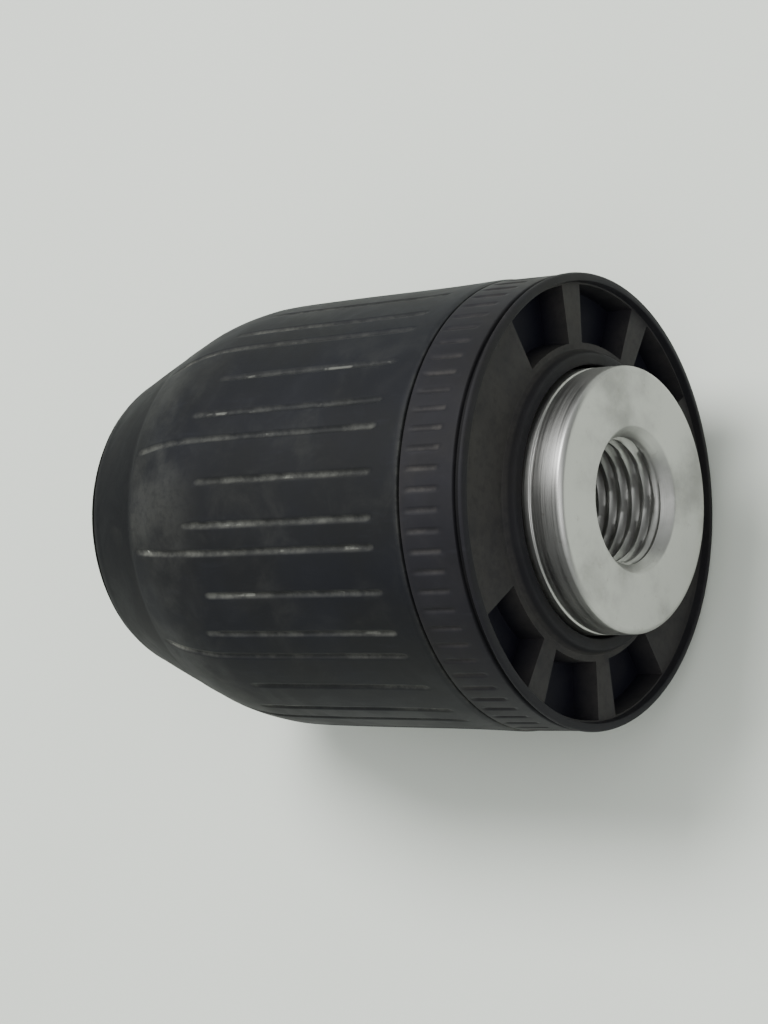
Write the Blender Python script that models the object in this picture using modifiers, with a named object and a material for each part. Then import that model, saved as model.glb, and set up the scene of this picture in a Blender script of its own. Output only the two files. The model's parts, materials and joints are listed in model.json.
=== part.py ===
"""Keyless drill chuck, 13 mm class, built from its separate pieces.

Frame: the X axis is the chuck axis. The origin is the centre of the steel hub's rear face, where the
spindle leaves, +X points rearwards out of the spindle socket and the nose is at -X. +Z is up.
Lengths below are in millimetres, and depths are measured rearwards from the nose plane.
"""
import math

import bmesh
import bpy
from mathutils import Matrix

MM = 0.001

# Overall
LENGTH = 56.3            # nose plane to the hub's rear face
SLEEVE_FRONT = 1.9
SLEEVE_REAR = 44.4
RING_FRONT = 44.8
RING_REAR = 51.8
GRIP_R = 21.07           # sleeve radius at the middle of its grip

# Steel body
TOOL_BORE_R = 6.9
TOOL_BORE_DEPTH = 38.0
SOCKET_R = 6.0
SOCKET_DEPTH = 14.5
THROUGH_HOLE_R = 3.2
HUB_R = 12.5
NOSE_SEAT_R = 10.2
NOSE_BEARING_R = 12.0
NECK_R = 9.8
FLANGE_R = 18.6
DRUM_R = 17.2

# Jaws
JAW_TILT = math.radians(15.5)
JAW_R = 3.45
JAW_BORE_R = 3.6
JAW_AXIS_AT_NOSE = 3.6   # radius of a jaw bore's axis at the nose plane
JAW_LENGTH = 38.0        # along the jaw, from its tip to its rear end
TIP_DEPTH_OPEN = 5.0     # depth of the jaw tips at the 13 mm opening
OPEN_R = 6.5             # radius of the gripping edges there
REST_SLIDE = 3.1         # how far each jaw has slid in from there at rest
GRIP_STEP = 0.65         # from the gripping edge in to where the two flanks would meet
THREAD_PITCH = 2.0
THREAD_DEPTH = 0.6

# Nut, bearing
NUT_FRONT = 13.0
NUT_REAR = 19.3
NUT_R = 15.6
JACKET_R = 17.0
BALL_R = 1.0
BALL_CIRCLE_R = 14.85
BALL_DEPTH = 20.4
BALLS = 12
RACE_FRONT = 21.5
RACE_REAR = 22.8
DRIVE_LUGS = 4

# Grip sleeve and rear ring
SECTORS = 12                       # each holds one long and two short flutes
FLUTES = ((0.0, 10.6), (11.5, 20.3), (22.8, 18.6))    # angle in the sector, front end
FLUTE_REAR = 41.3
FLUTE_WIDTH = 0.8
FLUTE_DEPTH = 0.45
FLUTE_PHASE = -6.6
POCKETS = 6
POCKET_PHASE = 91.5                # middle of the first three
POCKET_PITCH = 34.5
POCKET_HALF = math.radians(13.0)
POCKET_INNER_R = 14.9
POCKET_OUTER_R = 20.0

GAP = 0.3
SIDES = 40
BLACK = (0.030, 0.032, 0.034)
STEEL = (0.55, 0.55, 0.53)

for leftover in list(bpy.data.objects):
    bpy.data.objects.remove(leftover, do_unlink=True)

CHUCK = bpy.data.collections.new("drill_chuck")
CUTTERS = bpy.data.collections.new("cutters")
bpy.context.scene.collection.children.link(CHUCK)
bpy.context.scene.collection.children.link(CUTTERS)


def station(depth):
    """Position on the X axis, in metres, of a depth behind the nose plane."""
    return (depth - LENGTH) * MM


def new_material(name, colour, metallic, roughness):
    material = bpy.data.materials.new(name)
    material.use_nodes = True
    shader = material.node_tree.nodes["Principled BSDF"]
    shader.inputs["Base Color"].default_value = (*colour, 1.0)
    shader.inputs["Metallic"].default_value = metallic
    shader.inputs["Roughness"].default_value = roughness
    return material


def new_object(name, mesh, colour=None, metallic=0.0, roughness=0.5):
    """A named piece when it has a colour, and otherwise a hidden cutter."""
    obj = bpy.data.objects.new(name, mesh)
    if colour is None:
        CUTTERS.objects.link(obj)
        obj.hide_render = True
        obj.display_type = "WIRE"
        return obj
    CHUCK.objects.link(obj)
    obj.data.materials.append(new_material(name, colour, metallic, roughness))
    return obj


def turned(name, outline, sides=SIDES, colour=None, metallic=0.0, roughness=0.5):
    """A body of revolution about X. The outline is (depth, radius) pairs in a closed loop: forwards
    along the outside, then rearwards along the inside."""
    mesh = bpy.data.meshes.new(name)
    points = [(radius * MM, 0.0, station(depth)) for depth, radius in outline]
    edges = [(i, (i + 1) % len(points)) for i in range(len(points))]
    mesh.from_pydata(points, edges, [])
    obj = new_object(name, mesh, colour, metallic, roughness)
    obj.rotation_euler = (0.0, math.radians(90.0), 0.0)
    turn = obj.modifiers.new("turn", "SCREW")
    turn.axis = "Z"
    turn.steps = sides
    turn.render_steps = sides
    turn.use_merge_vertices = True
    turn.merge_threshold = 1e-6
    return obj


def prism_mesh(name, outline, width, slant=0.0):
    """An outline of (x, z) points in metres, extruded to the width along Y. A slant narrows or
    widens it towards its outer edge, as a flute's draft does."""
    bm = bmesh.new()
    ring = [bm.verts.new((x, -width / 2, z)) for x, z in outline]
    face = bm.faces.new(ring)
    moved = bmesh.ops.extrude_face_region(bm, geom=[face])["geom"]
    far_side = [v for v in moved if isinstance(v, bmesh.types.BMVert)]
    bmesh.ops.translate(bm, vec=(0.0, width, 0.0), verts=far_side)
    if slant:
        low = min(z for _, z in outline)
        for vert in bm.verts:
            vert.co.y *= 1.0 + slant * (vert.co.z - low) / width
    bmesh.ops.recalc_face_normals(bm, faces=bm.faces)
    mesh = bpy.data.meshes.new(name)
    bm.to_mesh(mesh)
    bm.free()
    return mesh


def rod_mesh(name, radius, start, end, tilt, sides, shift=0.0):
    """A cylinder in the XZ plane along the jaw direction, from start to end in metres from the
    local origin."""
    bm = bmesh.new()
    lean = Matrix.Rotation(math.radians(90.0) - tilt, 4, "Y")
    place = lean @ Matrix.Translation((shift, 0.0, (start + end) / 2))
    bmesh.ops.create_cone(bm, cap_ends=True, segments=sides, radius1=radius * MM, radius2=radius * MM,
                          depth=end - start, matrix=place)
    mesh = bpy.data.meshes.new(name)
    bm.to_mesh(mesh)
    bm.free()
    return mesh


def merged(name, meshes_and_turns):
    """One cutter mesh from several, each turned about X by its own angle."""
    bm = bmesh.new()
    for mesh, angle in meshes_and_turns:
        part = bmesh.new()
        part.from_mesh(mesh)
        bmesh.ops.rotate(part, cent=(0.0, 0.0, 0.0), matrix=Matrix.Rotation(angle, 3, "X"), verts=part.verts)
        copy = bpy.data.meshes.new(name)
        part.to_mesh(copy)
        part.free()
        bm.from_mesh(copy)
    mesh = bpy.data.meshes.new(name)
    bm.to_mesh(mesh)
    bm.free()
    return mesh


def boolean(target, tool, operation="DIFFERENCE"):
    step = target.modifiers.new(operation.lower(), "BOOLEAN")
    step.operation = operation
    step.solver = "EXACT"
    step.object = tool


def evaluated_mesh(obj):
    bpy.context.view_layer.update()
    return bpy.data.meshes.new_from_object(obj.evaluated_get(bpy.context.evaluated_depsgraph_get()))


def jaw_axis_radius(depth):
    return JAW_AXIS_AT_NOSE + math.tan(JAW_TILT) * depth


def along_jaw(depth):
    """Distance along a jaw axis, in metres, from where the three axes meet in front of the nose."""
    return (depth - APEX_DEPTH) / math.cos(JAW_TILT) * MM


APEX_DEPTH = -JAW_AXIS_AT_NOSE / math.tan(JAW_TILT)


# --- chuck body --------------------------------------------------------------------------------
body_outline = [
    (LENGTH, HUB_R - 0.6), (LENGTH - 0.6, HUB_R), (47.0, HUB_R), (44.5, HUB_R), (38.5, DRUM_R),
    (26.2, DRUM_R), (26.0, FLANGE_R), (23.1, FLANGE_R), (23.1, 14.0), (22.9, NECK_R), (12.7, NECK_R),
    (12.7, NOSE_BEARING_R), (3.3, NOSE_BEARING_R), (3.3, NOSE_SEAT_R), (0.9, NOSE_SEAT_R),
    (0.5, NOSE_SEAT_R - 0.4), (0.5, TOOL_BORE_R + 0.6), (1.1, TOOL_BORE_R),
    (TOOL_BORE_DEPTH, TOOL_BORE_R), (TOOL_BORE_DEPTH, THROUGH_HOLE_R),
    (LENGTH - SOCKET_DEPTH, THROUGH_HOLE_R), (LENGTH - SOCKET_DEPTH, SOCKET_R), (LENGTH - 0.8, SOCKET_R),
    (LENGTH, SOCKET_R + 0.8),
]
body = turned("chuck_body", body_outline, colour=STEEL, metallic=1.0, roughness=0.35)
tip_rest = along_jaw(TIP_DEPTH_OPEN) - REST_SLIDE * MM
rear_rest = tip_rest + JAW_LENGTH * MM
bore = rod_mesh("jaw_bore", JAW_BORE_R, along_jaw(-6.0), rear_rest + (REST_SLIDE + 0.5) * MM, JAW_TILT, 18)
bores = new_object("jaw_bores", merged("jaw_bores", [(bore, math.radians(120.0 * i)) for i in range(3)]))
bores.location = (station(APEX_DEPTH), 0.0, 0.0)
boolean(body, bores)

# --- jaws --------------------------------------------------------------------------------------
apex = (station(APEX_DEPTH), 0.0, 0.0)
grip = (OPEN_R - REST_SLIDE * math.sin(JAW_TILT)) * MM
fold = grip - GRIP_STEP * MM
half_edge = GRIP_STEP * MM * math.sqrt(3.0)
reach = 12.0 * MM
blank = rod_mesh("jaw_blank", JAW_R, tip_rest - 4.0 * MM, rear_rest, JAW_TILT, 20)
pattern = new_object("jaw_pattern", blank)
# The flanks stand 60 degrees off the jaw's radius, so that three jaws close like a cut pie.
bm = bmesh.new()
section = [(-reach, -reach), (fold + reach / math.sqrt(3.0), -reach), (grip, -half_edge), (grip, half_edge),
           (fold + reach / math.sqrt(3.0), reach), (-reach, reach)]
flank_face = bm.faces.new([bm.verts.new((-10.0 * MM, y, z)) for z, y in section])
pulled = bmesh.ops.extrude_face_region(bm, geom=[flank_face])["geom"]
far_end = [v for v in pulled if isinstance(v, bmesh.types.BMVert)]
bmesh.ops.translate(bm, vec=(70.0 * MM, 0.0, 0.0), verts=far_end)
bmesh.ops.recalc_face_normals(bm, faces=bm.faces)
flank_mesh = bpy.data.meshes.new("jaw_flanks")
bm.to_mesh(flank_mesh)
bm.free()
flanks = new_object("jaw_flanks", flank_mesh)
tip_plane = tip_rest * math.cos(JAW_TILT)
end_box = [(tip_plane - 12.0 * MM, -10.0 * MM), (tip_plane, -10.0 * MM), (tip_plane, 20.0 * MM),
           (tip_plane - 12.0 * MM, 20.0 * MM)]
tip_cut = new_object("jaw_tip_cut", prism_mesh("jaw_tip_cut", end_box, 20.0 * MM))
# Part thread: square grooves across the jaw's outer side, one pitch apart.
threads = bmesh.new()
lean = Matrix.Rotation(math.radians(90.0) - JAW_TILT, 4, "Y")
for turn_number in range(11):
    centre = rear_rest - (2.0 + THREAD_PITCH * turn_number) * MM
    spot = lean @ Matrix.Translation((-(JAW_R - THREAD_DEPTH + 2.0) * MM, 0.0, centre))
    bmesh.ops.create_cube(threads, size=1.0, matrix=spot @ Matrix.Diagonal((4.0 * MM, 9.0 * MM, 0.9 * MM, 1.0)))
thread_mesh = bpy.data.meshes.new("jaw_threads")
threads.to_mesh(thread_mesh)
threads.free()
thread_cut = new_object("jaw_threads", thread_mesh)
for tool in (flanks, tip_cut, thread_cut):
    boolean(pattern, tool)
jaw_mesh = evaluated_mesh(pattern)
for used in (pattern, flanks, tip_cut, thread_cut):
    bpy.data.objects.remove(used, do_unlink=True)
for i in range(3):
    jaw = new_object("jaw_%d" % (i + 1), jaw_mesh.copy(), (0.42, 0.42, 0.41), 1.0, 0.3)
    jaw.location = apex
    jaw.rotation_euler = (math.radians(120.0 * i), 0.0, 0.0)


# --- split nut and its jacket ------------------------------------------------------------------
def nut_inner(depth):
    """The nut's cone, clear of the jaws' outer sides by 0.2 mm."""
    return jaw_axis_radius(depth) + JAW_R / math.cos(JAW_TILT) + 0.2


nut_outline = [(NUT_REAR, nut_inner(NUT_REAR)), (NUT_REAR, NUT_R),
               (NUT_FRONT, NUT_R), (NUT_FRONT, nut_inner(NUT_FRONT))]
crest = NUT_FRONT + 0.6
while crest + 1.0 < NUT_REAR:
    nut_outline += [(crest, nut_inner(crest)), (crest, nut_inner(crest) + 0.6),
                    (crest + 0.8, nut_inner(crest) + 0.8), (crest + 0.8, nut_inner(crest + 0.8))]
    crest += THREAD_PITCH
for i, side in enumerate((1.0, -1.0)):
    half = turned("nut_half_%d" % (i + 1), nut_outline, 32, (0.40, 0.39, 0.37), 1.0, 0.4)
    box = bmesh.new()
    bmesh.ops.create_cube(box, size=1.0, matrix=Matrix.Translation((station(16.0), -side * 19.9 * MM, 0.0))
                          @ Matrix.Diagonal((12.0 * MM, 40.0 * MM, 44.0 * MM, 1.0)))
    box_mesh = bpy.data.meshes.new("nut_split")
    box.to_mesh(box_mesh)
    box.free()
    boolean(half, new_object("nut_split_%d" % (i + 1), box_mesh))

jacket = turned("nut_jacket", [(NUT_REAR, NUT_R + 0.15), (NUT_REAR, JACKET_R), (NUT_FRONT + 0.6, JACKET_R),
                               (NUT_FRONT + 0.2, JACKET_R - 0.4), (NUT_FRONT + 0.2, NUT_R + 0.15)],
                colour=(0.34, 0.33, 0.30), metallic=1.0, roughness=0.45)
notch = prism_mesh("jacket_notch", [(station(12.0), 16.2 * MM), (station(17.4), 16.2 * MM),
                                    (station(17.4), 19.0 * MM), (station(12.0), 19.0 * MM)], 4.6 * MM)
lug_turns = [math.radians(45.0 + 360.0 / DRIVE_LUGS * i) for i in range(DRIVE_LUGS)]
boolean(jacket, new_object("jacket_notches", merged("jacket_notches", [(notch, a) for a in lug_turns])))

# --- ball bearing ------------------------------------------------------------------------------
turned("thrust_race", [(RACE_REAR, 14.0), (RACE_REAR, 16.9), (RACE_FRONT, 16.9), (RACE_FRONT, 14.0)], 32,
       (0.50, 0.50, 0.49), 1.0, 0.25)
cage = turned("ball_cage", [(BALL_DEPTH + 0.55, 13.5), (BALL_DEPTH + 0.55, 16.4), (BALL_DEPTH - 0.55, 16.4),
                            (BALL_DEPTH - 0.55, 13.5)], SIDES, (0.35, 0.28, 0.16), 0.0, 0.5)
hole = rod_mesh("cage_hole", BALL_R + 0.15, -2.0 * MM, 2.0 * MM, 0.0, 10)
for vert in hole.vertices:
    vert.co.z += BALL_CIRCLE_R * MM
ball_turns = [math.radians(360.0 / BALLS * (i + 0.5)) for i in range(BALLS)]
holes = new_object("cage_holes", merged("cage_holes", [(hole, a) for a in ball_turns]))
holes.location = (station(BALL_DEPTH), 0.0, 0.0)
boolean(cage, holes)
for i, angle in enumerate(ball_turns):
    bm = bmesh.new()
    bmesh.ops.create_icosphere(bm, subdivisions=2, radius=BALL_R * MM)
    bmesh.ops.translate(bm, vec=(0.0, 0.0, BALL_CIRCLE_R * MM), verts=bm.verts)
    ball_mesh = bpy.data.meshes.new("ball")
    bm.to_mesh(ball_mesh)
    bm.free()
    ball = new_object("ball_%02d" % (i + 1), ball_mesh, (0.60, 0.60, 0.60), 1.0, 0.12)
    ball.location = (station(BALL_DEPTH), 0.0, 0.0)
    ball.rotation_euler = (angle, 0.0, 0.0)

# --- nose ring ---------------------------------------------------------------------------------
turned("nose_ring", [(3.0, 10.5), (3.0, 11.9), (1.6, 11.9), (1.6, 14.5), (0.7, 13.6), (0.0, 12.0), (0.0, 10.5)],
       colour=BLACK, roughness=0.5)

# --- grip sleeve -------------------------------------------------------------------------------
sleeve_side = [(SLEEVE_FRONT, 14.5), (2.3, 14.95), (3.3, 15.4), (9.8, 18.2), (13.9, 19.85),
               (18.0, 20.7), (25.5, GRIP_R), (SLEEVE_REAR - 0.5, 21.5), (SLEEVE_REAR, 21.1)]
sleeve_inside = [(SLEEVE_FRONT, 12.3), (12.7, 12.3), (12.7, 17.3),
                 (22.0, 17.3), (22.0, 19.0), (SLEEVE_REAR, 19.0)]
sleeve = turned("grip_sleeve", sleeve_side[::-1] + sleeve_inside, 60, BLACK, 0.0, 0.55)


def sleeve_radius(depth):
    for (d0, r0), (d1, r1) in zip(sleeve_side, sleeve_side[1:]):
        if d0 <= depth <= d1:
            return r0 + (r1 - r0) * (depth - d0) / (d1 - d0)


def flute_outline(front):
    """A flute's side view: its floor follows the sleeve at the flute's depth, and runs out in front."""
    stops = [front + 1.0] + [d for d, _ in sleeve_side if front + 2.0 < d < FLUTE_REAR - 1.0] + [FLUTE_REAR]
    floor = [(station(front - 0.6), (sleeve_radius(front - 0.6) + 0.3) * MM)]
    floor += [(station(d), (sleeve_radius(d) - FLUTE_DEPTH) * MM) for d in stops]
    return floor + [(station(FLUTE_REAR + 0.4), 23.0 * MM), (station(front - 0.6), 23.0 * MM)]


flutes = []
for sector in range(SECTORS):
    for offset, front in FLUTES:
        flute = prism_mesh("flute", flute_outline(front), FLUTE_WIDTH * MM)
        flutes.append((flute, math.radians(360.0 / SECTORS * sector + offset + FLUTE_PHASE)))
boolean(sleeve, new_object("sleeve_flutes", merged("sleeve_flutes", flutes)))
lug = prism_mesh("drive_lug", [(station(12.2), 16.5 * MM), (station(17.1), 16.5 * MM),
                               (station(17.1), 18.0 * MM), (station(12.2), 18.0 * MM)], 4.0 * MM)
boolean(sleeve, new_object("drive_lugs", merged("drive_lugs", [(lug, a) for a in lug_turns])), "UNION")

# --- rear ring ---------------------------------------------------------------------------------
rear_outline = [
    (RING_REAR, 20.95), (RING_REAR - 0.3, 21.5), (51.25, 21.55), (51.15, 21.0), (50.65, 21.0), (50.55, 21.45),
    (RING_FRONT + 0.4, 21.45), (RING_FRONT, 21.1), (RING_FRONT, 18.6), (43.6, 18.6), (43.6, 17.4),
    (47.2, 17.4), (47.2, 12.8),
    (52.2, 12.8), (52.2, 13.9), (51.0, 14.4), (51.0, 20.6), (RING_REAR, 20.7),
]
rear_ring = turned("rear_ring", rear_outline, 60, BLACK, 0.0, 0.55)
# Two wide pads are left on the rear face, and between them pockets in threes with narrow spokes.
pocket_outline = [(station(48.3), POCKET_INNER_R * MM), (station(53.0), POCKET_INNER_R * MM),
                  (station(53.0), POCKET_OUTER_R * MM), (station(48.3), POCKET_OUTER_R * MM)]
pocket_width = 2.0 * POCKET_INNER_R * math.tan(POCKET_HALF) * MM
pocket = prism_mesh("pocket", pocket_outline, pocket_width, 2.0 * math.tan(POCKET_HALF))
pocket_cuts = []
for i in range(POCKETS):
    turn = 180.0 * (i // 3) + POCKET_PHASE + (i % 3 - 1) * POCKET_PITCH
    pocket_cuts.append((pocket, math.radians(turn)))
boolean(rear_ring, new_object("ring_pockets", merged("ring_pockets", pocket_cuts)))

for obj in CHUCK.objects:
    obj.data.shade_smooth()
    obj.data.set_sharp_from_angle(angle=math.radians(30.0))
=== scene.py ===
"""Looks for a keyless drill chuck: turned and fluted black sleeves over a steel body and three jaws."""

import json
import math

import bmesh
import bpy
import numpy as np
from mathutils import Matrix, Vector


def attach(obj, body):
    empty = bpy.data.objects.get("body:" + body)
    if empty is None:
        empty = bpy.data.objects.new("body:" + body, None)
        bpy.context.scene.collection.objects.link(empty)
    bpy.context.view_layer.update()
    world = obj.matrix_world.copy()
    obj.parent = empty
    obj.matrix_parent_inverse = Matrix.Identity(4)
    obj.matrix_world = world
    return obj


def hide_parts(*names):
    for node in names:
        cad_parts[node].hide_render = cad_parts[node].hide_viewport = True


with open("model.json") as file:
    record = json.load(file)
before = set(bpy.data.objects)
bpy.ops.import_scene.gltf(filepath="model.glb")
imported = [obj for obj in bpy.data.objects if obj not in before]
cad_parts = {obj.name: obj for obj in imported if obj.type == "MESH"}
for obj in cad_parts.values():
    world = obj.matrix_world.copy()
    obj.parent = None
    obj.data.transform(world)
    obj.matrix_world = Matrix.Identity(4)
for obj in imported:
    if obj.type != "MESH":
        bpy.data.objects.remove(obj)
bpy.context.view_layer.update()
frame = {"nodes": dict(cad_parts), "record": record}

MM = 0.001
TAU = 2.0 * math.pi

# Lengths are in millimetres and angles in degrees. A depth is measured along the axis from the nose.
LENGTH = 56.3
SECTORS = 12
FLUTES = ((0.0, 10.6), (11.5, 20.3), (22.8, 18.6))  # angle in the sector, depth of the front end
FLUTE_PHASE = -6.6
FLUTE_REAR = 41.3
FLUTE_SINK = 0.20
LONG_FLUTE = 15.0       # flutes that start nearer the nose than this are the long ones
SLEEVE_FRONT = 1.9
SLEEVE_REAR = 44.48     # the sleeve and the ring each reach a little into the gap of the CAD
RING_FRONT = 44.72
TEETH = 72
TOOTH_SINK = 0.16
POCKET_PHASE = 91.5     # middle of the first three pockets
POCKET_PITCH = 34.5
POCKET_HALF = 13.0
POCKET_SINK = 2.7
TOOL_BORE_R = 6.9
SOCKET_R = 6.0
SOCKET_FRONT = 41.8
SOCKET_REAR = 55.3
SOCKET_PITCH = 1.27
HUB_R = 12.5
JAW_TILT = math.radians(15.5)
JAW_R = 3.45
JAW_BORE_R = 3.6
JAW_AXIS_AT_NOSE = 3.6  # radius of a jaw bore's axis at the nose plane
JAW_LENGTH = 38.0
JAW_PITCH = 2.0         # of the thread across the jaws
TIP_DEPTH_OPEN = 5.0    # depth of the jaw tips at the 13 mm opening
OPEN_R = 6.5            # radius of the gripping edges there
REST_SLIDE = 3.1        # how far each jaw has slid in from there at rest
EDGE_GROUND = 0.65      # how far the edge between the flanks is ground back, to leave a narrow flat


def station(depth):
    return (depth - LENGTH) * MM


# --- shape tools -------------------------------------------------------------------------------
def smooth_step(low, high, value):
    t = np.clip((value - low) / (high - low), 0.0, 1.0)
    return t * t * (3.0 - 2.0 * t)


def monotone(knots):
    """A smooth curve through (x, y) knots that never overshoots them."""
    x, y = np.array(knots, float).T
    step = np.diff(x)
    slope = np.diff(y) / step
    tangent = np.zeros(len(x))
    tangent[0], tangent[-1] = slope[0], slope[-1]
    for i in range(1, len(x) - 1):
        if slope[i - 1] * slope[i] > 0.0:
            w0, w1 = 2 * step[i] + step[i - 1], step[i] + 2 * step[i - 1]
            tangent[i] = (w0 + w1) / (w0 / slope[i - 1] + w1 / slope[i])

    def curve(at):
        at = np.asarray(at, float)
        i = np.clip(np.searchsorted(x, at) - 1, 0, len(step) - 1)
        t = (at - x[i]) / step[i]
        return ((1 + 2 * t) * (1 - t) ** 2 * y[i] + t * (1 - t) ** 2 * step[i] * tangent[i]
                + t * t * (3 - 2 * t) * y[i + 1] - t * t * (1 - t) * step[i] * tangent[i + 1])
    return curve


def rounded(points, fillet=0.15, step=1.2, arc=4):
    """A closed outline of (depth, radius) points with rounded corners and no long straight spans.
    A point may carry its own fillet as a third number."""
    out = []
    count = len(points)
    for i, point in enumerate(points):
        before = np.array(points[i - 1][:2], float)
        here = np.array(point[:2], float)
        after = np.array(points[(i + 1) % count][:2], float)
        reach = point[2] if len(point) > 2 else fillet
        a, b = before - here, after - here
        la, lb = np.linalg.norm(a), np.linalg.norm(b)
        reach = min(reach, 0.45 * la, 0.45 * lb)
        if reach < 0.01:
            out.append(here)
            continue
        p0, p1 = here + a / la * reach, here + b / lb * reach
        for k in range(arc + 1):
            t = k / arc
            out.append((1 - t) ** 2 * p0 + 2 * t * (1 - t) * here + t * t * p1)
    dense = []
    for i, here in enumerate(out):
        after = out[(i + 1) % len(out)]
        parts = max(1, int(math.ceil(np.linalg.norm(after - here) / step)))
        dense += [here + (after - here) * k / parts for k in range(parts)]
    return np.array(dense)


def columns(extra=(), widest=2.5):
    """Angles in radians round the axis: those asked for, in degrees, with the gaps filled in."""
    marks = sorted({round(a % 360.0, 3) for a in extra} | {float(a) for a in range(0, 360, 30)})
    out = []
    for a, b in zip(marks, marks[1:] + [marks[0] + 360.0]):
        parts = max(1, int(math.ceil((b - a) / widest)))
        out += [a + (b - a) * k / parts for k in range(parts)]
    return np.radians(out)


def finish_mesh(obj, sharp=35.0):
    obj.data.shade_smooth()
    obj.data.set_sharp_from_angle(angle=math.radians(sharp))
    return obj


def link(name, mesh):
    obj = bpy.data.objects.new(name, mesh)
    bpy.context.scene.collection.objects.link(obj)
    return obj


def lathe(name, outline, angles, shape=None, marks=None):
    """A closed outline turned about X. shape(depth, radius, angle) may move the points, and it also returns
    point attributes, which are stored on the mesh. marks is not used."""
    depth = np.repeat(outline[:, 0][:, None], len(angles), 1)
    radius = np.repeat(outline[:, 1][:, None], len(angles), 1)
    angle = np.repeat(angles[None, :], len(outline), 0)
    values = {}
    if shape:
        depth, radius, values = shape(depth, radius, angle)
    points = np.stack([station(depth), -radius * np.sin(angle) * MM, radius * np.cos(angle) * MM], -1)
    rows, cols = depth.shape
    i, j = np.meshgrid(np.arange(rows), np.arange(cols), indexing="ij")
    i1, j1 = (i + 1) % rows, (j + 1) % cols
    quads = np.stack([i * cols + j, i1 * cols + j, i1 * cols + j1, i * cols + j1], -1).reshape(-1, 4)
    mesh = bpy.data.meshes.new(name)
    mesh.from_pydata(points.reshape(-1, 3), [], quads)
    for key, value in values.items():
        layer = mesh.attributes.new(key, "FLOAT", "POINT")
        layer.data.foreach_set("value", np.broadcast_to(value, depth.shape).astype(np.float32).ravel())
    return finish_mesh(link(name, mesh))


def cut(obj, tools, operation="DIFFERENCE"):
    """Applies a Boolean with each tool, and removes the tools."""
    for tool in tools:
        step = obj.modifiers.new("cut", "BOOLEAN")
        step.operation = operation
        step.solver = "EXACT"
        step.object = tool
    bpy.context.view_layer.update()
    made = bpy.data.meshes.new_from_object(obj.evaluated_get(bpy.context.evaluated_depsgraph_get()))
    obj.modifiers.clear()
    obj.data = made
    for tool in tools:
        bpy.data.objects.remove(tool, do_unlink=True)
    return finish_mesh(obj)


# --- grip sleeve -------------------------------------------------------------------------------
side = monotone([
    (SLEEVE_FRONT, 14.55), (2.3, 14.95), (3.3, 15.4), (6.0, 16.6), (9.8, 18.2), (13.9, 19.85),
    (16.3, 20.45), (19.1, 20.86), (25.5, 21.07), (38.6, 21.3), (44.0, 21.5)])
outer = [(d, float(side(d)), 0.0) for d in np.arange(44.0, 2.35, -0.3)]
sleeve_outline = rounded([(SLEEVE_REAR, 19.0), (SLEEVE_REAR, 21.42, 0.15)] + outer + [
    (SLEEVE_FRONT, 14.75, 0.25), (SLEEVE_FRONT, 12.3), (12.7, 12.3), (12.7, 17.3), (22.0, 17.3),
    (22.0, 19.0)], 0.2)
flute_marks = [(360.0 / SECTORS * sector + a + FLUTE_PHASE, front)
               for sector in range(SECTORS) for a, front in FLUTES]
flute_steps = (-1.9, -1.5, -1.2, -0.9, -0.6, -0.3, 0.0, 0.3, 0.6, 0.9, 1.2, 1.5, 1.9)
flute_columns = [centre + step for centre, _ in flute_marks for step in flute_steps]


def sleeve_shape(depth, radius, angle):
    """Flutes sunk in the outer skin, a soft edge behind the nose, and dust in the flutes and the seam."""
    inner = np.where(depth < 22.0, 12.6 + (depth > 12.5) * 5.0, 19.3)
    skin = (radius > inner) & (depth > 2.2) & (depth < SLEEVE_REAR - 0.3)
    sink = np.zeros_like(depth)
    dust = np.zeros_like(depth)
    for centre, front in flute_marks:
        turn = (angle - math.radians(centre) + math.pi) % TAU - math.pi
        near = np.abs(turn) < 0.06
        aside = np.abs(turn) * radius
        along = np.maximum(np.maximum(front + 0.4 - depth, depth - FLUTE_REAR + 0.4), 0.0)
        gap = np.hypot(aside, along * 0.6)
        hollow = np.where(near, 1.0 - smooth_step(0.08, 0.40, gap), 0.0)
        fade = smooth_step(front - 0.4, front + 2.5, depth)
        sink = np.maximum(sink, hollow * FLUTE_SINK * (0.35 + 0.65 * fade))
        line = np.where(near, 1.0 - smooth_step(0.12, 0.44, gap), 0.0)
        # Dust packs into the shallow front end of each long flute.
        packed = np.exp(-((depth - front - 2.2) / 1.2) ** 2) * (front < LONG_FLUTE)
        dust = np.maximum(dust, line * (0.55 + 0.45 * packed))
    edge = 0.05 * smooth_step(9.5, 9.9, depth) * (1.0 - smooth_step(10.1, 12.0, depth))
    radius = radius + np.where(skin, edge - sink, 0.0)
    seam = smooth_step(SLEEVE_REAR - 0.25, SLEEVE_REAR - 0.02, depth) * (radius > 20.3)
    dust = np.where(skin, dust, 0.35 * seam)
    return depth, radius, {"dust": dust}


sleeve = lathe("grip_sleeve_shell", sleeve_outline, columns(flute_columns, 1.6), sleeve_shape)
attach(sleeve, "sleeve")
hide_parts("grip_sleeve")

# --- rear ring ---------------------------------------------------------------------------------
ring_outline = rounded([
    (51.8, 20.95, 0.12), (51.65, 21.45, 0.25), (51.3, 21.56), (51.2, 21.0, 0.08), (50.7, 21.0, 0.08),
    (50.6, 21.42), (RING_FRONT, 21.42, 0.15), (RING_FRONT, 18.6), (43.6, 18.6), (43.6, 17.4), (47.2, 17.4),
    (47.2, 12.8), (52.2, 12.8, 0.2), (52.2, 13.9, 0.25), (51.05, 14.35, 0.1), (51.05, 14.95, 0),
    (51.05, 15.05, 0), (51.05, 20.35, 0), (51.05, 20.45, 0), (51.05, 20.6, 0.04), (51.78, 20.72, 0.08)],
    0.14, 0.35)
pocket_centres = [180.0 * (i // 3) + POCKET_PHASE + (i % 3 - 1) * POCKET_PITCH for i in range(6)]
pocket_edges = [c + s * (POCKET_HALF + e) for c in pocket_centres for s in (-1, 1) for e in (-0.1, 0.1)]
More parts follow.
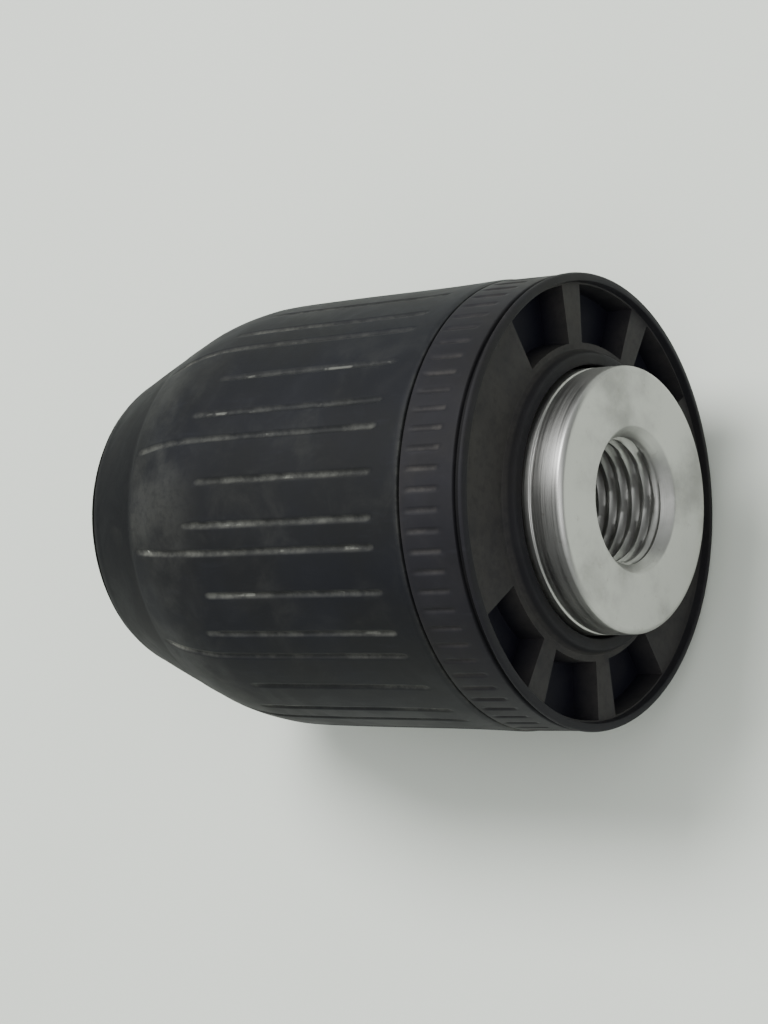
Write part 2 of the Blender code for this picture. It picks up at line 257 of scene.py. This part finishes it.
tooth_steps = (-1.15, -0.8, -0.45, 0.0, 0.45, 0.8, 1.15)
tooth_columns = [360.0 / TEETH * i + step for i in range(TEETH) for step in tooth_steps]


def ring_shape(depth, radius, angle):
    """Notches between the teeth, pockets sunk in the rear face, and the parts that are coloured apart,
    among them painted shade in the pockets and in the groove of the rim.
    """
    pitch = TAU / TEETH
    turn = (angle + pitch / 2) % pitch - pitch / 2
    notch = 1.0 - smooth_step(0.08, 0.34, np.abs(turn) * radius)
    band = smooth_step(45.4, 45.7, depth) * (1.0 - smooth_step(48.8, 49.1, depth)) * (radius > 21.2)
    web = (depth > 51.0) & (depth < 51.1) & (radius > 15.0) & (radius < 20.4)
    inside = np.zeros_like(web)
    for centre in pocket_centres:
        swing = (np.degrees(angle) - centre + 180.0) % 360.0 - 180.0
        inside |= np.abs(swing) < POCKET_HALF
    # The pocket floors: sunk, and coloured near black as painted shade.
    pocket_and_painted_shade = (web & inside).astype(float)
    depth = depth - POCKET_SINK * pocket_and_painted_shade
    radius = radius - TOOTH_SINK * notch * band
    seam = smooth_step(RING_FRONT + 0.3, RING_FRONT + 0.05, depth) * (radius > 20.3)
    # The groove in the rim, which is coloured darker as painted shade.
    groove_painted_shade = ((radius < 21.2) & (radius > 20.9) & (depth > 50.6) & (depth < 51.3)).astype(float)
    pad = ((depth > 51.0) & (radius > 14.2) & (radius < 20.58)).astype(float)
    dust = np.maximum(0.5 * notch * band, 0.25 * seam)
    return depth, radius, {"dust": dust, "pad": pad, "groove_painted_shade": groove_painted_shade, "pocket_and_painted_shade": pocket_and_painted_shade}


ring = lathe("rear_ring_shell", ring_outline, columns(tooth_columns + pocket_edges, 2.5), ring_shape)
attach(ring, "body")
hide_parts("rear_ring")

# --- nose ring ---------------------------------------------------------------------------------
nose_outline = rounded([
    (3.0, 10.5), (3.0, 11.9), (1.6, 11.9), (1.6, 14.55, 0.15), (0.8, 13.8, 0.5), (0.0, 12.3, 0.5),
    (0.0, 11.5, 0.1), (0.15, 11.35, 0.1), (0.15, 11.15, 0.1), (0.0, 11.0, 0.1), (0.0, 10.5, 0.2)], 0.12, 0.4)
nose = lathe("nose_cap", nose_outline, columns((), 2.0))
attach(nose, "body")
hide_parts("nose_ring")

# --- steel body --------------------------------------------------------------------------------
body_outline = rounded([
    (LENGTH, 12.1, 0.25), (55.9, HUB_R, 0.2), (53.2, HUB_R, 0.05), (53.1, 12.35, 0.05), (52.8, 12.35, 0.05),
    (52.7, HUB_R, 0.05), (44.5, HUB_R), (38.5, 17.2), (26.2, 17.2), (26.0, 18.6), (23.1, 18.6), (23.1, 14.0),
    (22.9, 9.8), (12.7, 9.8), (12.7, 12.0), (3.3, 12.0), (3.3, 10.2), (0.9, 10.2), (0.5, 9.85, 0.2),
    (0.5, 7.6, 0.2), (1.2, TOOL_BORE_R, 0.2), (38.0, TOOL_BORE_R), (39.2, 3.2), (SOCKET_FRONT, 3.2),
    (SOCKET_FRONT, SOCKET_R, 0.0), (42.4, SOCKET_R, 0.0), (SOCKET_REAR, SOCKET_R, 0.0), (LENGTH, 6.9, 0.15)],
    0.15, 0.9)
# The socket's wall is cut much finer than the rest, to carry the thread.
keep = [p for p in body_outline if abs(p[1] - SOCKET_R) > 1e-6]
wall = [np.array((d, SOCKET_R)) for d in np.arange(SOCKET_FRONT + 0.05, SOCKET_REAR, 0.15)]
spot = next(k for k, p in enumerate(keep) if 41.0 < p[0] < 42.0 and p[1] < SOCKET_R and keep[k + 1][0] > 55.0)
body_outline = np.array(keep[:spot + 1] + wall + keep[spot + 1:])


def body_shape(depth, radius, angle):
    """A helical thread in the spindle socket, which fades out at both ends."""
    inside = (np.abs(radius - SOCKET_R) < 0.01) & (depth > SOCKET_FRONT) & (depth < SOCKET_REAR)
    phase = (depth / SOCKET_PITCH - angle / TAU) % 1.0
    crest = np.abs(phase - 0.5) * 2.0
    lead = smooth_step(SOCKET_REAR, 54.2, depth) * smooth_step(42.2, 43.4, depth)
    thread = (smooth_step(0.15, 0.85, crest) - 0.5) * 0.6
    return depth, radius + np.where(inside, thread * lead, 0.0), {}


steel = lathe("steel_body", body_outline, columns((), 2.5), body_shape)
# The three jaw axes meet at the apex, ahead of the nose. tip and tail are measured from it along a jaw.
apex_depth = -JAW_AXIS_AT_NOSE / math.tan(JAW_TILT)
tip = (TIP_DEPTH_OPEN - apex_depth) / math.cos(JAW_TILT) - REST_SLIDE
tail = tip + JAW_LENGTH
lean = Matrix.Rotation(math.radians(90.0) - JAW_TILT, 4, "Y")


def jaw_place(i):
    """From a jaw's own frame, at the apex, to its place in the chuck."""
    return (Matrix.Translation((station(apex_depth), 0.0, 0.0))
            @ Matrix.Rotation(math.radians(120.0 * i), 4, "X"))


def rod(name, radius, start, end, sides, place):
    """A straight rod along the jaw axis, used to bore the body."""
    bm = bmesh.new()
    middle = Matrix.Translation((0.0, 0.0, (start + end) / 2 * MM))
    bmesh.ops.create_cone(bm, cap_ends=True, segments=sides, radius1=radius * MM, radius2=radius * MM,
                          depth=(end - start) * MM, matrix=place @ lean @ middle)
    mesh = bpy.data.meshes.new(name)
    bm.to_mesh(mesh)
    bm.free()
    return link(name, mesh)


bore_front = (-6.0 - apex_depth) / math.cos(JAW_TILT)
bore_rear = tail + REST_SLIDE + 0.5
cut(steel, [rod("bore", JAW_BORE_R, bore_front, bore_rear, 64, jaw_place(i)) for i in range(3)])
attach(steel, "body")
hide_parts("chuck_body")


# --- jaws --------------------------------------------------------------------------------------
def jaw_mesh():
    """One jaw in its own frame: a ground rod with a buttress part thread across its outer side,
    two flanks, each 60 degrees from the radial plane, and a narrow gripping edge."""
    rows = np.unique(np.concatenate([np.arange(tip - 4.0, tail - 0.6, 0.125), [tail - 0.6, tail]]))
    angles = np.linspace(0.0, TAU, 56, endpoint=False)
    t = np.repeat(rows[:, None], len(angles), 1)
    a = np.repeat(angles[None, :], len(rows), 0)
    radius = JAW_R - 0.35 * smooth_step(tail - 0.6, tail, t)
    out, across = radius * np.cos(a), radius * np.sin(a)
    phase = ((tail - 1.4 - t) / JAW_PITCH) % 1.0
    tooth = smooth_step(0.0, 0.10, phase) * (1.0 - smooth_step(0.35, 0.95, phase))
    live = smooth_step(tail - 24.2, tail - 23.6, t) * (1.0 - smooth_step(tail - 1.2, tail - 0.9, t))
    out = np.where(live > 0.0, np.minimum(out, JAW_R - 0.62 * tooth * live), out)
    points = np.stack([-out * MM, across * MM, t * MM], -1).reshape(-1, 3)
    n = len(angles)
    i, j = np.meshgrid(np.arange(len(rows) - 1), np.arange(n), indexing="ij")
    j1 = (j + 1) % n
    quads = np.stack([i * n + j, (i + 1) * n + j, (i + 1) * n + j1, i * n + j1], -1).reshape(-1, 4).tolist()
    caps = [list(range(n)), [(len(rows) - 1) * n + k for k in range(n)][::-1]]
    mesh = bpy.data.meshes.new("jaw")
    mesh.from_pydata(points, [], quads + caps)
    mesh.transform(lean)
    bm = bmesh.new()
    bm.from_mesh(mesh)
    bmesh.ops.recalc_face_normals(bm, faces=bm.faces)
    bm.to_mesh(mesh)
    bm.free()
    blank = link("jaw_blank", mesh)
    grip = OPEN_R - REST_SLIDE * math.sin(JAW_TILT)
    fold, half = grip - EDGE_GROUND, EDGE_GROUND * math.sqrt(3.0)
    flat = 12.0 / math.sqrt(3.0)
    flanks = [(-12, -12), (fold + flat, -12), (grip, -half), (grip, half), (fold + flat, 12), (-12, 12)]
    front = [(-12, -12), (20, -12), (20, 12), (-12, 12)]
    tools = []
    nose_x = tip * math.cos(JAW_TILT)
    for shape, x0, x1 in ((flanks, -10.0, 60.0), (front, nose_x - 12.0, nose_x)):
        bm = bmesh.new()
        face = bm.faces.new([bm.verts.new((x0 * MM, y * MM, z * MM)) for z, y in shape])
        grown = bmesh.ops.extrude_face_region(bm, geom=[face])["geom"]
        moved = [v for v in grown if isinstance(v, bmesh.types.BMVert)]
        bmesh.ops.translate(bm, vec=((x1 - x0) * MM, 0, 0), verts=moved)
        bmesh.ops.recalc_face_normals(bm, faces=bm.faces)
        tool = bpy.data.meshes.new("tool")
        bm.to_mesh(tool)
        bm.free()
        tools.append(link("tool", tool))
    cut(blank, tools)
    made = blank.data
    bpy.data.objects.remove(blank, do_unlink=True)
    return made


pattern = jaw_mesh()
jaws = []
for i, letter in enumerate("abc"):
    mesh = pattern.copy()
    mesh.transform(jaw_place(i))
    jaw = finish_mesh(link("jaw_%s_ground" % letter, mesh))
    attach(jaw, "jaw_" + letter)
    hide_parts("jaw_%d" % (i + 1))
    jaws.append(jaw)


# --- materials ---------------------------------------------------------------------------------
class Nodes:
    """Short hands for building a material's node tree."""

    def __init__(self, name):
        self.material = bpy.data.materials.new(name)
        self.material.use_nodes = True
        self.tree = self.material.node_tree
        self.shader = self.tree.nodes["Principled BSDF"]
        self.coords = self.tree.nodes.new("ShaderNodeTexCoord").outputs["Object"]

    def put(self, socket, value):
        if isinstance(value, bpy.types.NodeSocket):
            self.tree.links.new(value, socket)
        else:
            socket.default_value = value

    def node(self, kind, inputs=(), out=0, **settings):
        node = self.tree.nodes.new("ShaderNode" + kind)
        for key, value in settings.items():
            setattr(node, key, value)
        for key, value in dict(inputs).items():
            self.put(node.inputs[key], value)
        return node.outputs[out]

    def scaled(self, x, y, z):
        return self.node("Mapping", {"Vector": self.coords, "Scale": (x, y, z)})

    def noise(self, scale, detail=4.0, rough=0.55, vector=None, distortion=0.0):
        return self.node("TexNoise", {"Vector": vector or self.coords, "Scale": scale, "Detail": detail,
                                      "Roughness": rough, "Distortion": distortion})

    def ramp(self, value, low, high, a=0.0, b=1.0):
        ends = {"Value": value, "From Min": low, "From Max": high, "To Min": a, "To Max": b}
        return self.node("MapRange", ends, interpolation_type="SMOOTHSTEP")

    def math(self, operation, a, b=0.0, clamp=False):
        return self.node("Math", {0: a, 1: b}, operation=operation, use_clamp=clamp)

    def mix(self, factor, a, b):
        node = self.tree.nodes.new("ShaderNodeMix")
        node.data_type = "RGBA"
        self.put(node.inputs["Factor"], factor)
        self.put(node.inputs["A"], a if isinstance(a, bpy.types.NodeSocket) else (*a, 1.0))
        self.put(node.inputs["B"], b if isinstance(b, bpy.types.NodeSocket) else (*b, 1.0))
        return node.outputs["Result"]

    def attribute(self, name):
        return self.node("Attribute", out=2, attribute_name=name)

    def axis(self, which):
        return self.node("SeparateXYZ", {0: self.coords}, out=which)

    def bump(self, height, strength, distance, normal=None):
        inputs = {"Height": height, "Strength": strength, "Distance": distance}
        if normal is not None:
            inputs["Normal"] = normal
        return self.node("Bump", inputs)

    def set(self, **values):
        for key, value in values.items():
            self.put(self.shader.inputs[key.replace("_", " ")], value)
        return self.material


def worn_plastic(name, base, dusty, zones=True, pads=False, gloss=0.12):
    """Black moulded plastic: fine grain, handling shine, grey dust in the hollows and rubbed patches, with
    painted shade on the nose, in the ring's pockets and in its groove. The mesh's dust and pad attributes,
    and the two that mark the painted shade of the pockets and the groove, say where they are."""
    n = Nodes(name)
    cloud = n.noise(70.0, 5.0, 0.6)
    speck = n.noise(1400.0, 3.0, 0.6)
    smear = n.noise(160.0, 6.0, 0.65, distortion=0.6)
    tint = n.mix(n.ramp(cloud, 0.35, 0.7), base, tuple(c * 1.3 for c in base))
    drift = n.ramp(n.noise(55.0, 4.0, 0.6), 0.38, 0.62)
    tint = n.mix(n.math("MULTIPLY", drift, 0.6), tint, (base[0] * 1.10, base[1] * 1.06, base[2] * 0.82))
    # Long faint rubs along the grip.
    rub = n.noise(1.0, 5.0, 0.7, vector=n.scaled(160.0, 900.0, 900.0))
    tint = n.mix(n.math("MULTIPLY", n.ramp(rub, 0.56, 0.75), 0.30), tint, tuple(c * 2.0 for c in base))
    film = n.math("MULTIPLY", n.ramp(smear, 0.45, 0.75), 0.06)
    patchy = n.ramp(n.noise(300.0, 5.0, 0.7), 0.40, 0.66)
    clumps = n.ramp(n.noise(260.0, 4.0, 0.6), 0.58, 0.66)
    lines = n.attribute("dust")
    uneven = n.ramp(n.noise(45.0, 2.0, 0.5), 0.36, 0.64, 0.42, 1.0)
    cover = n.math("ADD", n.math("MULTIPLY", patchy, 0.66), 0.30)
    in_lines = n.math("MULTIPLY", n.math("MULTIPLY", lines, uneven), cover)
    amount = n.math("MAXIMUM", film, in_lines)
    if zones:
        x = n.axis(0)
        behind = n.ramp(x, station(9.6), station(10.4))
        ahead = n.ramp(x, station(22.0), station(15.0))
        patch = n.ramp(n.noise(95.0, 5.0, 0.62), 0.36, 0.62)
        shoulder = n.math("MULTIPLY", n.math("MULTIPLY", behind, ahead), patch)
        amount = n.math("MAXIMUM", amount, n.math("MULTIPLY", shoulder, 0.15))
        # Painted shade: the sleeve is coloured darker towards the nose, standing in for the shade on the
        # nose, which turns away from the light.
        painted_nose_shade = n.ramp(x, station(9.9), station(9.3))
        tint = n.mix(painted_nose_shade, tint, tuple(c * 0.52 for c in base))
    if pads:
        mottle = n.ramp(n.noise(220.0, 5.0, 0.6), 0.25, 0.6, 0.35, 0.75)
        pad = n.math("MULTIPLY", n.attribute("pad"), mottle)
        amount = n.math("MAXIMUM", amount, n.math("MULTIPLY", pad, 0.30))
        # Painted shade: the pocket floors are coloured near black, standing in for the shade in the pockets.
        tint = n.mix(n.attribute("pocket_and_painted_shade"), tint, (0.0050, 0.0050, 0.0100))
        # Painted shade: the groove in the rim is coloured darker.
        tint = n.mix(n.attribute("groove_painted_shade"), tint, tuple(c * 0.4 for c in base))
    amount = n.math("MULTIPLY", amount, n.ramp(speck, 0.25, 0.6, 0.6, 1.0), clamp=True)
    colour = n.mix(amount, tint, dusty)
    flecks = n.math("MULTIPLY", n.ramp(lines, 0.45, 0.9), clumps)
    colour = n.mix(flecks, colour, tuple(c * 4.0 for c in dusty))
    rough = n.math("ADD", n.math("MULTIPLY", amount, 0.3), n.ramp(smear, 0.3, 0.7, 0.54, 0.66), clamp=True)
    grain = n.bump(speck, 0.30, 0.00003)
    normal = n.bump(rub, 0.12, 0.00005, grain)
    return n.set(Base_Color=colour, Roughness=rough, Normal=normal, Specular_IOR_Level=gloss)


def machined_steel(name, base, rough, ring=True, oil=0.25):
    """Turned or ground steel: tool marks, a thin uneven oil film and small dark stains."""
    n = Nodes(name)
    # Rings round the axis on turned pieces, and fine lines along it on ground ones.
    stretch = (6000.0, 60.0, 60.0) if ring else (120.0, 2600.0, 2600.0)
    marks = n.noise(1.0, 3.0, 0.6, vector=n.scaled(*stretch))
    stain = n.noise(120.0, 6.0, 0.62)
    fine = n.noise(900.0, 4.0, 0.6)
    colour = n.mix(n.ramp(stain, 0.42, 0.72), base, tuple(c * 0.72 for c in base))
    colour = n.mix(n.math("MULTIPLY", n.ramp(fine, 0.6, 0.78), oil), colour, (0.10, 0.075, 0.05))
    spread = 0.07 if ring else 0.01
    roughness = n.math("ADD", n.ramp(marks, 0.3, 0.7, rough - spread, rough + spread),
                       n.ramp(stain, 0.4, 0.7, 0.0, 0.14), clamp=True)
    normal = n.bump(marks, 0.25 if ring else 0.08, 0.00002)
    return n.set(Base_Color=colour, Roughness=roughness, Normal=normal, Metallic=1.0)


def plain_plastic(name, base, rough):
    n = Nodes(name)
    colour = n.mix(n.ramp(n.noise(150.0, 5.0), 0.35, 0.7), base, tuple(c * 0.75 for c in base))
    fine = n.noise(1500.0, 3.0)
    return n.set(Base_Color=colour, Roughness=n.ramp(fine, 0.3, 0.7, rough - 0.06, rough + 0.06),
                 Normal=n.bump(fine, 0.3, 0.00002))


DUST = (0.170, 0.172, 0.152)
RING_DUST = (0.105, 0.098, 0.090)
finishes = {
    "sleeve_black": worn_plastic("sleeve_plastic", (0.0092, 0.0098, 0.0122), DUST),
    "ring_black": worn_plastic("ring_plastic", (0.0128, 0.0126, 0.0152), RING_DUST, zones=False, pads=True),
    "nose_black": worn_plastic("nose_plastic", (0.0060, 0.0062, 0.0068), DUST, zones=False, gloss=0.08),
    "body_steel": machined_steel("body_steel_turned", (0.40, 0.40, 0.385), 0.38),
    "jaw_steel": machined_steel("jaw_steel_ground", (0.40, 0.40, 0.39), 0.30, ring=False, oil=0.1),
    "nut_steel": machined_steel("nut_steel_turned", (0.36, 0.35, 0.33), 0.40),
    "jacket_steel": machined_steel("jacket_steel_drawn", (0.32, 0.31, 0.28), 0.42),
    "race_steel": machined_steel("race_steel_ground", (0.50, 0.50, 0.49), 0.22),
    "ball_steel": machined_steel("ball_steel_polished", (0.62, 0.62, 0.62), 0.14, ring=False, oil=0.1),
    "cage_plastic": plain_plastic("cage_plastic_moulded", (0.35, 0.28, 0.16), 0.5),
}
node_slot = {part["node"]: part["material_slot"] for part in frame["record"]["subparts"]}
shells = [(sleeve, "sleeve_black"), (ring, "ring_black"), (nose, "nose_black"), (steel, "body_steel")]
for piece, slot_name in shells + [(jaw, "jaw_steel") for jaw in jaws]:
    piece.data.materials.clear()
    piece.data.materials.append(finishes[slot_name])
for node_name, obj in frame["nodes"].items():
    for holder in obj.material_slots:
        holder.material = finishes[node_slot[node_name]]

# --- floor, light and camera -------------------------------------------------------------------
floor_z = -21.75 * MM
floor = link("floor", bpy.data.meshes.new("floor"))
bm = bmesh.new()
below = Matrix.Translation((0.0, 0.0, floor_z))
bmesh.ops.create_grid(bm, x_segments=8, y_segments=8, size=2.0, matrix=below)
bm.to_mesh(floor.data)
bm.free()
n = Nodes("pale_table")
speck = n.noise(900.0, 3.0, 0.6)
drift = n.ramp(n.noise(9.0, 4.0), 0.3, 0.7)
pale = n.mix(drift, (0.695, 0.733, 0.665), (0.73, 0.768, 0.70))
floor.data.materials.append(n.set(Base_Color=pale, Roughness=0.62, Normal=n.bump(speck, 0.2, 0.00005)))

world = bpy.data.worlds.new("studio")
bpy.context.scene.world = world
world.use_nodes = True
sky = world.node_tree
backing = sky.nodes["Background"]
direction = sky.nodes.new("ShaderNodeTexCoord")
height = sky.nodes.new("ShaderNodeSeparateXYZ")
shade = sky.nodes.new("ShaderNodeValToRGB")
shade.color_ramp.elements[0].position = 0.05
shade.color_ramp.elements[0].color = (0.30, 0.31, 0.31, 1.0)
shade.color_ramp.elements[1].position = 0.75
shade.color_ramp.elements[1].color = (0.95, 0.98, 0.97, 1.0)
sky.links.new(direction.outputs["Generated"], height.inputs[0])
sky.links.new(height.outputs[2], shade.inputs["Fac"])
sky.links.new(shade.outputs["Color"], backing.inputs["Color"])
backing.inputs["Strength"].default_value = 0.85


def area_light(name, place, target, size, power):
    light = bpy.data.lights.new(name, "AREA")
    light.shape = "DISK"
    light.size = size
    light.energy = power
    obj = bpy.data.objects.new(name, light)
    bpy.context.scene.collection.objects.link(obj)
    obj.location = place
    obj.rotation_euler = (Vector(target) - Vector(place)).to_track_quat("-Z", "Y").to_euler()


middle = Vector((station(28.0), 0.0, 0.0))
area_light("key", (-0.18, 0.34, 0.86), middle, 0.42, 9.6)
area_light("fill", (0.6, -0.2, 0.8), middle, 0.9, 3.7)

# The camera looks down from behind the rear ring.
roll = math.radians(15.0)
across = Vector((0.0, -math.sin(roll), math.cos(roll)))
eye = Vector((station(51.8) + 156.7 * MM, 0.0, 0.0)) + across * 241.8 * MM
aim = Vector((station(27.0), 0.0, 0.0))
camera = bpy.data.objects.new("camera", bpy.data.cameras.new("camera"))
bpy.context.scene.collection.objects.link(camera)
bpy.context.scene.camera = camera
forward = (aim - eye).normalized()
slope = math.radians(2.8)
ahead = (Vector((1.0, 0.0, 0.0)) - forward * forward.x).normalized()
right = (Matrix.Rotation(slope, 3, forward) @ ahead).normalized()
up = right.cross(forward)
camera.matrix_world = Matrix.Translation(eye) @ Matrix((right, up, -forward)).transposed().to_4x4()
camera.data.lens = 108.0
camera.data.sensor_width = 36.0
camera.data.clip_start = 0.01
